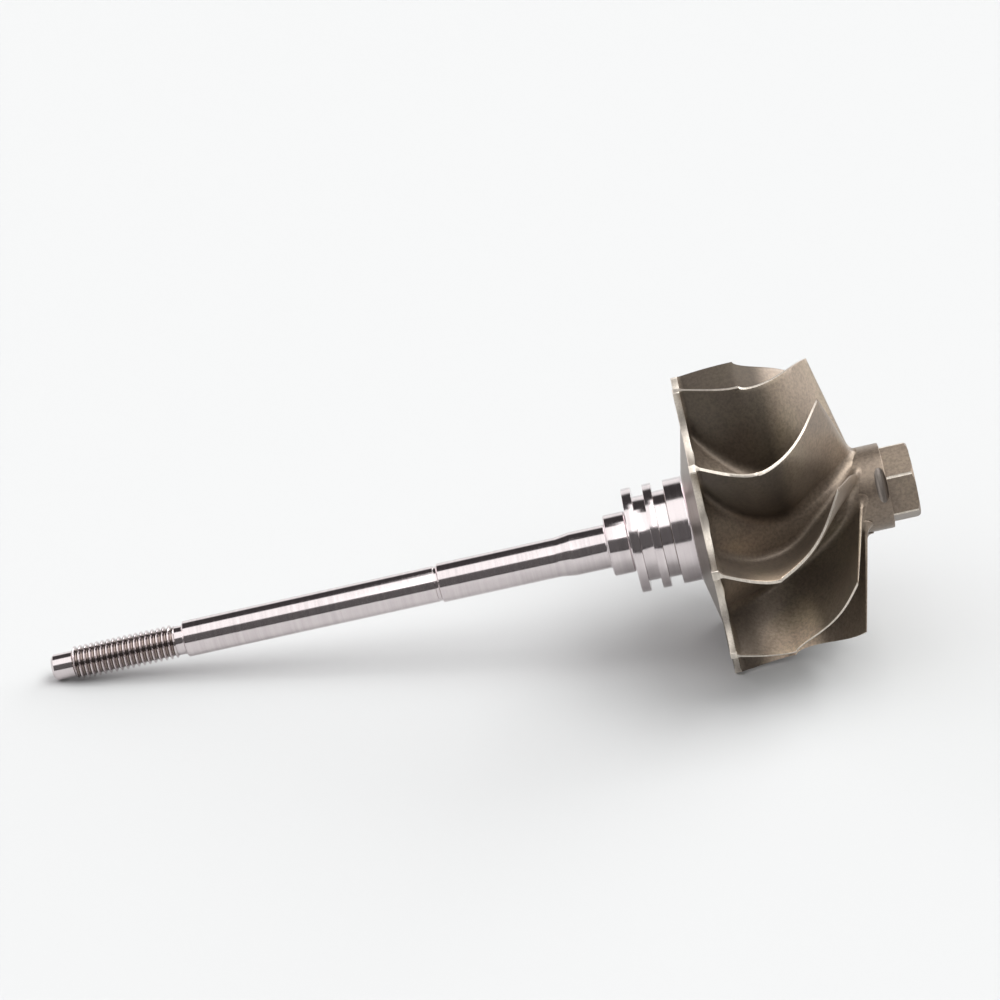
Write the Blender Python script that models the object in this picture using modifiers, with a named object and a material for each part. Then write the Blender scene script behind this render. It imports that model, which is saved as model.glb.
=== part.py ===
"""Turbocharger shaft and wheel: a cast turbine wheel friction-welded to a turned steel shaft.

Both pieces are modelled along one local axis, +Z, from the thread tip (0) to the wheel's nose,
and an empty then lays that axis down in the pose in which the part rests on a level floor: on the
thread tip and on two neighbouring blade tips. World +X runs towards the nose, world +Z is up.
Angles around the axis are measured from the local +X side, which faces the floor.
"""

import math

import bmesh
import bpy
from mathutils import Matrix, Vector

MM = 0.001

# Shaft stations along the axis
TIP_CHAMFER = 0.45 * MM
THREAD_START = 3.8 * MM
THREAD_END = 22.3 * MM
SEAT_START = 23.8 * MM
SEAT_END = 68.7 * MM
JOURNAL_START = 69.2 * MM
JOURNAL_END = 90.2 * MM
SHOULDER_START = 92.7 * MM
COLLAR_START = 99.2 * MM
COLLAR_END = 103.0 * MM
FIRST_FLANGE_START = 103.3 * MM
FIRST_FLANGE_END = 104.9 * MM
SECOND_FLANGE_START = 107.0 * MM
SECOND_FLANGE_END = 108.5 * MM
WELD_PLANE = 110.6 * MM
WELD_GAP = 0.02 * MM

# Shaft radii
TIP_RADIUS = 2.3 * MM
THREAD_RADIUS = 2.97 * MM
THREAD_DEPTH = 0.61 * MM
THREAD_PITCH = 1.0 * MM
NECK_RADIUS = 2.55 * MM
SEAT_RADIUS = 3.16 * MM
STEP_RADIUS = 3.05 * MM
JOURNAL_RADIUS = 3.44 * MM
SHOULDER_RADIUS = 3.8 * MM
COLLAR_RADIUS = 5.35 * MM
FLANGE_RADIUS = 9.13 * MM
FIRST_GROOVE_RADIUS = 7.42 * MM
SECOND_GROOVE_RADIUS = 7.58 * MM
EDGE_CHAMFER = 0.2 * MM

# Wheel: hub, back disc and nose
HUB_COLLAR_END = 113.9 * MM
BACK_CONE_RADIUS = 17.9 * MM
DISC_BACK = 115.75 * MM
DISC_FRONT = 116.95 * MM
DISC_FLAT_RADIUS = 18.3 * MM
HUB_FRONT_RADIUS = 7.5 * MM
HUB_FRONT = 142.7 * MM
HUB_HOLLOW = 0.74
NOSE_RADIUS = 7.42 * MM
NOSE_END = 147.95 * MM
HEX_ACROSS_FLATS = 12.0 * MM
HEX_END = 152.7 * MM
HEX_TURN = math.radians(21.5)
HEX_CHAMFER = 0.7 * MM

# Wheel: blades and the ground outer contour
BLADES = 9
WHEEL_RADIUS = 26.5 * MM
INLET_CORNER = 126.75 * MM
OUTLET_RADIUS = 24.3 * MM
OUTLET_CORNER = 139.0 * MM
CONTOUR_HOLLOW = 0.6
FIRST_BLADE = math.radians(-20)
SHROUD_HALF_THICKNESS = 0.3 * MM
OUTLET_HALF_THICKNESS = 0.22 * MM
ROOT_HALF_THICKNESS = 0.6 * MM
ROOT_FILLET = 0.7 * MM
ROOT_BURY = 0.6 * MM
FULL_FILLET_LENGTH = 8.0 * MM
FULL_ROOT_SHARE = 0.33
SHORTEST_BLADE = 0.2 * MM
RIM_LEAN = math.radians(60)
GRINDING_STOCK = 1.0 * MM
# Turn of a blade about the axis, in degrees from its root at the rim: (station, turn)
HUB_TURN = ((DISC_FRONT, 0), (120.5 * MM, 11), (123.5 * MM, 18.5), (126.5 * MM, 22.8), (129 * MM, 24.2),
            (131.5 * MM, 20.5), (135.8 * MM, 4.5), (139 * MM, -10), (HUB_FRONT, -35))
SHROUD_TURN = ((DISC_FRONT, 0), (120.5 * MM, 3.7), (124 * MM, 6.5), (INLET_CORNER, 7.1), (129 * MM, 5.4),
               (132.5 * MM, 0.2), (136 * MM, -9.2), (OUTLET_CORNER, -21), (HUB_FRONT, -35))

# Scallops in the back disc, and the balancing cut on the nose
SCALLOP_RADIUS = 8.3 * MM
SCALLOP_CENTRE = 26.4 * MM
BALANCE_CUT_RADIUS = 1.1 * MM
BALANCE_CUT_STATION = 146.9 * MM
BALANCE_CUT_DEPTH = 0.65 * MM
BALANCE_CUT_TURN = math.radians(-120)

# How finely round shapes are divided
SHAFT_STEPS = 24
WHEEL_STEPS = 54
CURVE_POINTS = 9
PATH_POINTS = 24
BLADE_STATIONS = 16
FILLET_STEP = 0.35
OPEN_STEPS = 3
AXIS_MERGE = 0.00001


def clear_scene():
    for old in list(bpy.data.objects):
        bpy.data.objects.remove(old, do_unlink=True)


def new_collection(name):
    made = bpy.data.collections.new(name)
    bpy.context.scene.collection.children.link(made)
    return made


def new_material(name, colour, roughness):
    made = bpy.data.materials.new(name)
    made.use_nodes = True
    shader = made.node_tree.nodes["Principled BSDF"]
    shader.inputs["Base Color"].default_value = (*colour, 1)
    shader.inputs["Metallic"].default_value = 1
    shader.inputs["Roughness"].default_value = roughness
    return made


def new_object(name, mesh, collection, parent):
    made = bpy.data.objects.new(name, mesh)
    made.parent = parent
    collection.objects.link(made)
    return made


def object_from_bmesh(name, shape, collection, parent):
    mesh = bpy.data.meshes.new(name)
    shape.to_mesh(mesh)
    shape.free()
    return new_object(name, mesh, collection, parent)


def make_cutter(piece):
    piece.hide_render = True
    piece.display_type = "WIRE"
    return piece


def turned(name, profile, steps, collection, parent):
    """A turned solid. The profile lists (radius, station) from the top of the axis to the bottom."""
    mesh = bpy.data.meshes.new(name)
    points = [(radius, 0, station) for radius, station in profile]
    mesh.from_pydata(points, [(i, i + 1) for i in range(len(points) - 1)], [])
    piece = new_object(name, mesh, collection, parent)
    screw = piece.modifiers.new("turn", "SCREW")
    screw.steps = steps
    screw.render_steps = steps
    screw.use_merge_vertices = True
    screw.merge_threshold = AXIS_MERGE
    return piece


def combine(piece, operation, other):
    step = piece.modifiers.new(other.name, "BOOLEAN")
    step.operation = operation
    step.solver = "EXACT"
    step.object = other


def hollow_drop(share, exponent):
    """How much of its drop a hollow curve still has before it at this share of its length along the axis."""
    return max(0.0, 1 - share**exponent) ** (1 / exponent)


def hollow_curve(start, end, exponent, points):
    """(radius, station) points of a hollow curve that leaves start radially and reaches end axially."""
    found = []
    for i in range(points + 1):
        share = (i / points) ** 2
        radius = end[0] + (start[0] - end[0]) * hollow_drop(share, exponent)
        found.append((radius, start[1] + (end[1] - start[1]) * share))
    return found


def hub_curve(points):
    return hollow_curve((DISC_FLAT_RADIUS, DISC_FRONT), (HUB_FRONT_RADIUS, HUB_FRONT), HUB_HOLLOW, points)


def contour_curve(points):
    start = (WHEEL_RADIUS, INLET_CORNER)
    return hollow_curve(start, (OUTLET_RADIUS, OUTLET_CORNER), CONTOUR_HOLLOW, points)


def along(path, share):
    """The point at this share of the length of a path of (radius, station) points."""
    lengths = [math.dist(a, b) for a, b in zip(path, path[1:])]
    left = share * sum(lengths)
    for a, b, length in zip(path, path[1:], lengths):
        if left <= length:
            return tuple(p + (q - p) * left / length for p, q in zip(a, b))
        left -= length
    return path[-1]


def spline(table):
    """A natural cubic spline through (x, value) pairs, as a function of x."""
    xs, ys = zip(*table)
    last = len(xs) - 1
    gaps = [b - a for a, b in zip(xs, xs[1:])]
    slopes = [(b - a) / gap for a, b, gap in zip(ys, ys[1:], gaps)]
    ratios, rests = [0.0], [0.0]
    for i in range(1, last):
        pivot = 2 * (gaps[i - 1] + gaps[i]) - gaps[i - 1] * ratios[-1]
        rests.append((6 * (slopes[i] - slopes[i - 1]) - gaps[i - 1] * rests[-1]) / pivot)
        ratios.append(gaps[i] / pivot)
    bends = [0.0] * (last + 1)
    for i in range(last - 1, 0, -1):
        bends[i] = rests[i] - ratios[i] * bends[i + 1]

    def value(x):
        i = next((k for k in range(last) if x <= xs[k + 1]), last - 1)
        width, before, after = gaps[i], xs[i + 1] - x, x - xs[i]
        bow_before = bends[i] * before * (before**2 / width - width)
        bow_after = bends[i + 1] * after * (after**2 / width - width)
        return (bow_before + bow_after) / 6 + (ys[i] * before + ys[i + 1] * after) / width

    return value


def around(radius, angle, station):
    return Vector((radius * math.cos(angle), radius * math.sin(angle), station))


def shaft_profile():
    """(radius, station) down the shaft, from the weld to the thread tip."""
    chamfer = EDGE_CHAMFER
    return [
        (0, WELD_PLANE - WELD_GAP),
        (SECOND_GROOVE_RADIUS, WELD_PLANE - WELD_GAP),
        (SECOND_GROOVE_RADIUS, SECOND_FLANGE_END),
        (FLANGE_RADIUS, SECOND_FLANGE_END),
        (FLANGE_RADIUS, SECOND_FLANGE_START),
        (FIRST_GROOVE_RADIUS, SECOND_FLANGE_START),
        (FIRST_GROOVE_RADIUS, FIRST_FLANGE_END),
        (FLANGE_RADIUS, FIRST_FLANGE_END),
        (FLANGE_RADIUS, FIRST_FLANGE_START),
        (COLLAR_RADIUS - chamfer, FIRST_FLANGE_START),
        (COLLAR_RADIUS - chamfer, COLLAR_END),
        (COLLAR_RADIUS, COLLAR_END - chamfer),
        (COLLAR_RADIUS, COLLAR_START + chamfer),
        (COLLAR_RADIUS - chamfer, COLLAR_START),
        (SHOULDER_RADIUS, COLLAR_START),
        (SHOULDER_RADIUS, SHOULDER_START),
        (JOURNAL_RADIUS, JOURNAL_END),
        (JOURNAL_RADIUS, JOURNAL_START + chamfer),
        (STEP_RADIUS, JOURNAL_START),
        (STEP_RADIUS, SEAT_END),
        (SEAT_RADIUS, SEAT_END - chamfer / 2),
        (SEAT_RADIUS, SEAT_START + chamfer),
        (SEAT_RADIUS - chamfer, SEAT_START),
        (NECK_RADIUS, SEAT_START),
        (NECK_RADIUS, THREAD_END + THREAD_DEPTH),
        (THREAD_RADIUS, THREAD_END),
        (THREAD_RADIUS, THREAD_START + THREAD_DEPTH),
        (TIP_RADIUS, THREAD_START),
        (TIP_RADIUS, TIP_CHAMFER),
        (TIP_RADIUS - TIP_CHAMFER, 0),
        (0, 0),
    ]


def thread_groove(collection, parent):
    """The V groove of a right-hand thread, as one coil that runs from the tip to the neck."""
    root = THREAD_RADIUS - THREAD_DEPTH
    outside = THREAD_RADIUS + EDGE_CHAMFER / 4
    half_root = THREAD_PITCH / 8
    half_mouth = half_root + (outside - root) * math.tan(math.radians(30))
    section = [(root, -half_root), (root, half_root), (outside, half_mouth), (outside, -half_mouth)]
    turns = (THREAD_END - THREAD_START) / THREAD_PITCH + 1.5
    count = round(turns * SHAFT_STEPS)
    shape = bmesh.new()
    rings = []
    for i in range(count + 1):
        angle = 2 * math.pi * i / SHAFT_STEPS
        station = THREAD_START - THREAD_PITCH / 2 + THREAD_PITCH * i / SHAFT_STEPS
        rings.append([shape.verts.new(around(r, -angle, station + z)) for r, z in section])
    for a, b in zip(rings, rings[1:]):
        for k in range(4):
            shape.faces.new((a[k], a[(k + 1) % 4], b[(k + 1) % 4], b[k]))
    shape.faces.new(rings[0][::-1])
    shape.faces.new(rings[-1])
    bmesh.ops.recalc_face_normals(shape, faces=shape.faces)
    return make_cutter(object_from_bmesh("thread_groove", shape, collection, parent))


hub_turn = spline(HUB_TURN)
shroud_turn = spline(SHROUD_TURN)


def blade_turn(radius, station):
    """Turn of a blade's middle surface. At each station it changes evenly from the hub to the shroud line."""
    hub_share = min(max((station - DISC_FRONT) / (HUB_FRONT - DISC_FRONT), 0), 1)
    shroud_share = min(max((station - INLET_CORNER) / (OUTLET_CORNER - INLET_CORNER), 0), 1)
    low = HUB_FRONT_RADIUS + (DISC_FLAT_RADIUS - HUB_FRONT_RADIUS) * hollow_drop(hub_share, HUB_HOLLOW)
    high = OUTLET_RADIUS + (WHEEL_RADIUS - OUTLET_RADIUS) * hollow_drop(shroud_share, CONTOUR_HOLLOW)
    part = (radius - low) / (high - low)
    return math.radians(hub_turn(station) + (shroud_turn(station) - hub_turn(station)) * part)


def blade_spans(length):
    """The fillet, and the distances out from the hub at which the blade is drawn, buried foot first."""
    fillet = ROOT_FILLET * min(1, length / FULL_FILLET_LENGTH)
    step = (length - fillet) / OPEN_STEPS
    spans = [-ROOT_BURY, 0, fillet * FILLET_STEP]
    spans += [fillet + step * k for k in range(OPEN_STEPS + 1)]
    return fillet, spans + [length + GRINDING_STOCK]


def blade(number, collection, parent):
    """One blade: its middle surface runs from hub to contour, and Solidify gives its thickness."""
    hub = [(WHEEL_RADIUS, DISC_FRONT)] + hub_curve(PATH_POINTS)
    outer = [(WHEEL_RADIUS, DISC_FRONT)] + contour_curve(PATH_POINTS)
    base = FIRST_BLADE + 2 * math.pi * number / BLADES
    shape = bmesh.new()
    rows = []
    weights = []
    for i in range(BLADE_STATIONS + 1):
        share = i / BLADE_STATIONS
        foot, top = along(hub, share), along(outer, share)
        length = max(math.dist(foot, top), SHORTEST_BLADE)
        lean = math.atan2(top[1] - foot[1], top[0] - foot[0]) if i else RIM_LEAN
        fillet, spans = blade_spans(length)
        tip_half = SHROUD_HALF_THICKNESS + (OUTLET_HALF_THICKNESS - SHROUD_HALF_THICKNESS) * share
        root_half = tip_half + (ROOT_HALF_THICKNESS - tip_half) * min(1, share / FULL_ROOT_SHARE)
        row = []
        for span in spans:
            part = span / length
            radius = foot[0] + span * math.cos(lean)
            station = foot[1] + span * math.sin(lean)
            row.append(shape.verts.new(around(radius, base + blade_turn(radius, station), station)))
            half = root_half + (tip_half - root_half) * min(max(part, 0), 1)
            if span < fillet:
                rest = fillet - max(span, 0)
                half += fillet - math.sqrt(max(fillet**2 - rest**2, 0))
            weights.append(half)
        rows.append(row)
    for a, b in zip(rows, rows[1:]):
        for k in range(len(a) - 1):
            shape.faces.new((a[k], b[k], b[k + 1], a[k + 1]))
    made = object_from_bmesh(f"blade_{number + 1}", shape, collection, parent)
    widest = max(weights)
    group = made.vertex_groups.new(name="thickness")
    for index, half in enumerate(weights):
        group.add([index], half / widest, "REPLACE")
    solid = made.modifiers.new("thickness", "SOLIDIFY")
    solid.thickness = 2 * widest
    solid.offset = 0
    solid.vertex_group = group.name
    return make_cutter(made)


def wheel_profile():
    """(radius, station) of the turned body of the casting, from the nose to the weld."""
    return [
        (0, NOSE_END),
        (NOSE_RADIUS - EDGE_CHAMFER, NOSE_END),
        (NOSE_RADIUS, NOSE_END - EDGE_CHAMFER),
        *reversed(hub_curve(CURVE_POINTS)),
        (WHEEL_RADIUS + GRINDING_STOCK, DISC_FRONT),
        (WHEEL_RADIUS + GRINDING_STOCK, DISC_BACK),
        (BACK_CONE_RADIUS, DISC_BACK),
        (FLANGE_RADIUS - EDGE_CHAMFER, HUB_COLLAR_END),
        (FLANGE_RADIUS, HUB_COLLAR_END - EDGE_CHAMFER),
        (FLANGE_RADIUS, WELD_PLANE),
        (0, WELD_PLANE),
    ]


def ground_envelope(collection, parent):
    """All that the grinding of the rim and the blade tips, and the facing of the hex, leaves."""
    hex_radius = HEX_ACROSS_FLATS / math.sqrt(3)
    profile = [
        (0, HEX_END),
        (hex_radius - HEX_CHAMFER, HEX_END),
        (hex_radius + EDGE_CHAMFER, HEX_END - HEX_CHAMFER),
        (hex_radius + EDGE_CHAMFER, NOSE_END + EDGE_CHAMFER),
        (OUTLET_RADIUS, NOSE_END - EDGE_CHAMFER),
        *reversed(contour_curve(CURVE_POINTS)),
        (WHEEL_RADIUS, WELD_PLANE - EDGE_CHAMFER),
        (0, WELD_PLANE - EDGE_CHAMFER),
    ]
    return make_cutter(turned("ground_envelope", profile, WHEEL_STEPS, collection, parent))


def hex_prism(collection, parent):
    shape = bmesh.new()
    radius = HEX_ACROSS_FLATS / math.sqrt(3)
    bottom = NOSE_END - 2 * EDGE_CHAMFER
    depth = HEX_END + EDGE_CHAMFER - bottom
    place = Matrix.Translation((0, 0, bottom + depth / 2)) @ Matrix.Rotation(HEX_TURN, 4, "Z")
    bmesh.ops.create_cone(
        shape, cap_ends=True, segments=6, radius1=radius, radius2=radius, depth=depth, matrix=place
    )
    return make_cutter(object_from_bmesh("hex_prism", shape, collection, parent))


def scallop_cutter(collection, parent):
    """Nine round cutters between the blades, which leave a narrow foot of disc under each blade."""
    shape = bmesh.new()
    low, high = HUB_COLLAR_END, DISC_FRONT + 2 * ROOT_FILLET
    for i in range(BLADES):
        angle = FIRST_BLADE + 2 * math.pi * (i + 0.5) / BLADES
        place = Matrix.Translation(around(SCALLOP_CENTRE, angle, (low + high) / 2))
        bmesh.ops.create_cone(
            shape,
            cap_ends=True,
            segments=WHEEL_STEPS // 2 + 1,
            radius1=SCALLOP_RADIUS,
            radius2=SCALLOP_RADIUS,
            depth=high - low,
            matrix=place @ Matrix.Rotation(angle, 4, "Z"),
        )
    return make_cutter(object_from_bmesh("scallops", shape, collection, parent))


def balance_cutter(collection, parent):
    """A rod laid across the nose, which leaves the leaf-shaped cut made in balancing."""
    shape = bmesh.new()
    height = NOSE_RADIUS - BALANCE_CUT_DEPTH + BALANCE_CUT_RADIUS
    place = Matrix.Translation(around(height, BALANCE_CUT_TURN, BALANCE_CUT_STATION))
    place = place @ Matrix.Rotation(BALANCE_CUT_TURN, 4, "Z") @ Matrix.Rotation(math.pi / 2, 4, "X")
    bmesh.ops.create_cone(
        shape,
        cap_ends=True,
        segments=SHAFT_STEPS // 2,
        radius1=BALANCE_CUT_RADIUS,
        radius2=BALANCE_CUT_RADIUS,
        depth=2 * NOSE_RADIUS,
        matrix=place,
    )
    return make_cutter(object_from_bmesh("balance_cut", shape, collection, parent))


def make_shaft(parts, cutters, parent):
    shaft = turned("shaft", shaft_profile(), SHAFT_STEPS, parts, parent)
    combine(shaft, "DIFFERENCE", thread_groove(cutters, parent))
    shaft.data.materials.append(new_material("turned_steel", (0.62, 0.6, 0.58), 0.22))
    return shaft


def make_wheel(parts, cutters, parent):
    wheel = turned("turbine_wheel", wheel_profile(), WHEEL_STEPS, parts, parent)
    combine(wheel, "DIFFERENCE", scallop_cutter(cutters, parent))
    combine(wheel, "UNION", hex_prism(cutters, parent))
    for number in range(BLADES):
        combine(wheel, "UNION", blade(number, cutters, parent))
    combine(wheel, "INTERSECT", ground_envelope(cutters, parent))
    combine(wheel, "DIFFERENCE", balance_cutter(cutters, parent))
    wheel.data.materials.append(new_material("cast_nickel_alloy", (0.36, 0.32, 0.26), 0.5))
    return wheel


def rest_on_floor(axis, pieces):
    """Lays the axis down onto the thread tip and two blade tips, and centres the part over the origin."""
    pitch = 2 * math.pi / BLADES
    foot_half_width = SCALLOP_CENTRE * math.sin(pitch / 2) - SCALLOP_RADIUS
    low_angle = pitch / 2 - foot_half_width / WHEEL_RADIUS
    drop = WHEEL_RADIUS * math.cos(low_angle) - TIP_RADIUS
    tilt = math.atan2(drop, DISC_BACK - TIP_CHAMFER)
    axis.rotation_euler = (0, math.pi / 2 - tilt, 0)
    bpy.context.view_layer.update()
    graph = bpy.context.evaluated_depsgraph_get()
    corners = []
    for piece in pieces:
        ready = piece.evaluated_get(graph)
        mesh = ready.to_mesh()
        corners += [ready.matrix_world @ vertex.co for vertex in mesh.vertices]
        ready.to_mesh_clear()
    low = [min(corner[k] for corner in corners) for k in range(3)]
    high = [max(corner[k] for corner in corners) for k in range(3)]
    axis.location = (-(low[0] + high[0]) / 2, -(low[1] + high[1]) / 2, -low[2])


def main():
    clear_scene()
    parts = new_collection("turbocharger_shaft_and_wheel")
    cutters = new_collection("cutters")
    axis = new_object("shaft_axis", None, parts, None)
    pieces = [make_shaft(parts, cutters, axis), make_wheel(parts, cutters, axis)]
    rest_on_floor(axis, pieces)


main()
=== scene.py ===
"""Looks of the turbocharger shaft and wheel.

Both pieces are drawn along one local axis, +Z, from the thread tip (0) to the wheel's nose, and
AXIS_PLACE lays that axis where the model has it. Lengths are in metres. Angles around the axis are
measured from the local +X side, which faces the floor.
"""

import math

import bmesh
import bpy
from mathutils import Matrix, Vector

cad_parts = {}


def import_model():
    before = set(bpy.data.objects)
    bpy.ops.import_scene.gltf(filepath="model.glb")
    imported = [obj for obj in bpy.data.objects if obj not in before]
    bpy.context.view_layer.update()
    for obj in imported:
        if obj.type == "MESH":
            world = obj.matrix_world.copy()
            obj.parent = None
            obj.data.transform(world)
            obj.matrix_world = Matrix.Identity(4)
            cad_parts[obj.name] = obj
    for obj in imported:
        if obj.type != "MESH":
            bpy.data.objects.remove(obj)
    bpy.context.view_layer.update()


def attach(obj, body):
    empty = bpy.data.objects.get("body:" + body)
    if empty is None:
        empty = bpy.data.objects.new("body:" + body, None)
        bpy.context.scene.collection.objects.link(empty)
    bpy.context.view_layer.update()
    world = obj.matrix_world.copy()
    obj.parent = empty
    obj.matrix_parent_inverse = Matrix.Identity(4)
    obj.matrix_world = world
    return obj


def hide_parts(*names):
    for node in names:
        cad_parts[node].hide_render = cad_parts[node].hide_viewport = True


MM = 0.001

# Where the axis lies: the thread tip's centre, and the rise towards the wheel
TIP_PLACE = Vector((-75.32, 0.124, 2.198)) * MM
TILT = math.radians(11.2057)
AXIS_PLACE = Matrix.Translation(TIP_PLACE) @ Matrix.Rotation(math.pi / 2 - TILT, 4, "Y")

# Camera
CAMERA_PLACE = Vector((-11.52, -512.24, 306.08)) * MM
CAMERA_YAW = math.radians(-1.679)
CAMERA_PITCH = math.radians(-28.183)
CAMERA_ROLL = math.radians(1.815)
CAMERA_LENS = 122.4
CAMERA_SENSOR = 36
CAMERA_CLIP = (0.01, 20)

# Panels of the studio light. Each one has its lowest and highest angle over the part (0 towards the
# camera, 90 overhead, 180 behind), its left and right end (-1 to 1), its strength, and how softly it
# falls off in height and to the sides
WHITE_PANELS = (
    (8, 44, -1.0, 1.0, 0.08, 6, 0.05),
    (30, 108, -1.0, -0.6, 1.3, 4, 0.08),
    (50, 100, -0.6, -0.16, 1.4, 4, 0.06),
    (50, 112, -0.16, 0.2, 1.7, 4, 0.06),
    (44, 60, 0.2, 0.6, 1.2, 3, 0.08),
    (62, 92, 0.2, 0.6, 4.2, 3, 0.08),
    (92, 118, 0.2, 0.6, 4.0, 4, 0.08),
    (50, 108, 0.6, 1.0, 1.0, 4, 0.08),
    (122, 168, 0.5, 1.0, 3.6, 8, 0.1),
    (160, 180, -0.6, 0.6, 1.1, 10, 0.1),
)
ROSY_PANELS = ((132, 172, -1.0, -0.55, 1.9, 10, 0.1),)
ROOM_LIGHT = 0.055
WHITE_TINT = (1.0, 1.0, 1.0)
ROSY_TINT = (1.0, 0.91, 0.94)
BACKDROP = (0.9, 0.9, 0.9)

# Floor
FLOOR_RADIUS = 8
FLOOR_COLOUR = (0.56, 0.568, 0.568, 1)
FLOOR_ROUGHNESS = 0.9
FLOOR_SPECULAR = 0.1

# Finishes. Each list gives tints, shades or roughness by where they sit in their pattern, from 0 to 1.
# Lines, patches, clouds, grain and pits are counted by the metre
STEEL_FINE_LINES = 5200
STEEL_COARSE_LINES = 900
STEEL_PATCHES = 260
STEEL_TINTS = [(0.35, (0.6, 0.546, 0.549)), (0.65, (0.66, 0.6, 0.604))]
STEEL_LINE_TINT = (0.7, 0.638, 0.641)
STEEL_ROUGHNESS = [(0.3, 0.09), (0.7, 0.17)]
# Painted shade in the thread's roots, by depth in the groove
THREAD_ROOT_PAINTED_SHADE = [(0.1, (0.3, 0.26, 0.23)), (0.65, (1.0, 1.0, 1.0))]
CAST_METALLIC = 0.55
CAST_CLOUDS = 90
CAST_GRAIN = 1900
CAST_PITS = 5200
CAST_TINTS = [(0.32, (0.25, 0.196, 0.152)), (0.5, (0.3, 0.238, 0.181)), (0.7, (0.33, 0.27, 0.194))]
CAST_SPECKLE = [(0.35, 0.72), (0.62, 1.0)]
CAST_ROUGHNESS = [(0.3, 0.32), (0.7, 0.42)]
# Extra roughness where the painted shade is darker
PAINTED_SHADE_DULLNESS = [(0.3, 0.24), (0.9, 0.0)]
GROUND_LINES = 3000
GROUND_TINTS = [(0.3, (0.56, 0.505, 0.44)), (0.7, (0.76, 0.7, 0.62))]
GROUND_ROUGHNESS = 0.45
MACHINED_LINES = 2200
MACHINED_PATCHES = 300
MACHINED_TINTS = [(0.35, (0.22, 0.192, 0.17)), (0.65, (0.27, 0.238, 0.212))]
MACHINED_LINE_TINT = (0.31, 0.274, 0.246)
MACHINED_ROUGHNESS = 0.42

# Shaft stations along the axis
TIP_CHAMFER = 0.45 * MM
THREAD_START = 3.8 * MM
THREAD_END = 22.3 * MM
SEAT_START = 23.8 * MM
SEAT_END = 68.7 * MM
JOURNAL_START = 69.2 * MM
JOURNAL_END = 90.2 * MM
SHOULDER_START = 92.7 * MM
COLLAR_START = 99.2 * MM
COLLAR_END = 103.0 * MM
FIRST_FLANGE_START = 103.3 * MM
FIRST_FLANGE_END = 104.9 * MM
SECOND_FLANGE_START = 107.0 * MM
SECOND_FLANGE_END = 108.5 * MM
WELD_PLANE = 110.6 * MM
WELD_GAP = 0.02 * MM

# Shaft radii and the thread's form
TIP_RADIUS = 2.3 * MM
THREAD_RADIUS = 2.97 * MM
THREAD_DEPTH = 0.61 * MM
THREAD_PITCH = 1.0 * MM
THREAD_CREST = 0.875
THREAD_ROOT = 0.16
THREAD_CHAMFER = math.radians(40)
THREAD_START_STEEPNESS = 1.4
NECK_RADIUS = 2.55 * MM
SEAT_RADIUS = 3.16 * MM
STEP_RADIUS = 3.05 * MM
JOURNAL_RADIUS = 3.44 * MM
SHOULDER_RADIUS = 3.8 * MM
COLLAR_RADIUS = 5.35 * MM
FLANGE_RADIUS = 9.13 * MM
FIRST_GROOVE_RADIUS = 7.42 * MM
SECOND_GROOVE_RADIUS = 7.58 * MM

# Wheel: hub, back disc and nose
HUB_COLLAR_END = 113.9 * MM
BACK_CONE_RADIUS = 17.9 * MM
DISC_BACK = 115.75 * MM
DISC_FRONT = 116.95 * MM
DISC_FLAT_RADIUS = 18.3 * MM
HUB_FRONT_RADIUS = 7.5 * MM
HUB_FRONT = 142.7 * MM
HUB_HOLLOW = 0.74
NOSE_START = 141.5 * MM
NOSE_RADIUS = 7.42 * MM
NOSE_END = 147.95 * MM
HEX_ACROSS_FLATS = 12.0 * MM
HEX_END = 152.7 * MM
HEX_TURN = math.radians(21.5)
HEX_CHAMFER = 0.7 * MM
# Upright faces beyond this radius take the bright ground finish as a painted highlight
HEX_HIGHLIGHT_RADIUS = 6.7 * MM
HEX_SINK = 1 * MM
HEX_CORNER_ROUND = 0.26 * MM

# Wheel: blades and the ground outer contour
BLADES = 9
WHEEL_RADIUS = 26.5 * MM
INLET_CORNER = 126.75 * MM
OUTLET_RADIUS = 24.3 * MM
OUTLET_CORNER = 139.0 * MM
CONTOUR_HOLLOW = 0.6
FIRST_BLADE = math.radians(-20)
SHROUD_HALF_THICKNESS = 0.3 * MM
OUTLET_HALF_THICKNESS = 0.22 * MM
ROOT_HALF_THICKNESS = 0.6 * MM
ROOT_FILLET = 1.3 * MM
RIM_FILLET = 0.9 * MM
FULL_ROOT_SHARE = 0.33
BLADE_BURY = 0.15 * MM
EDGE_BREAK = 0.06 * MM
DISC_EDGE = 0.14 * MM
# Turn of a blade about the axis, in degrees from its root at the rim: (station, turn)
HUB_TURN = ((DISC_FRONT, 0), (120.5 * MM, 11), (123.5 * MM, 18.5), (126.5 * MM, 22.8), (129 * MM, 24.2),
            (131.5 * MM, 20.5), (135.8 * MM, 4.5), (139 * MM, -10), (HUB_FRONT, -35))
SHROUD_TURN = ((DISC_FRONT, 0), (120.5 * MM, 3.7), (124 * MM, 6.5), (INLET_CORNER, 7.1), (129 * MM, 5.4),
               (132.5 * MM, 0.2), (136 * MM, -9.2), (OUTLET_CORNER, -21), (HUB_FRONT, -35))

# Painted shade and light in the cast skin's colour: darker on the hollow face's inlet half, deep down the
# other face and on the hub, brighter on that face's outer part; and between which stations or parts of the
# way out it changes
INLET_FACE = 0.34
FACE_CHANGE = (129.5 * MM, 133 * MM)
DEEP_FACE = 0.55
OUTER_FACE = 3.0
HUB_PAINTED_SHADE = 0.78
HUB_CHANGE = (133 * MM, 141 * MM)
# The nose's own even tone
NOSE_SKIN = 0.9
DEEP_FACE_PARTS = (0.42, 0.92)
ROOT_PARTS = (0.0, 0.25)

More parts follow.
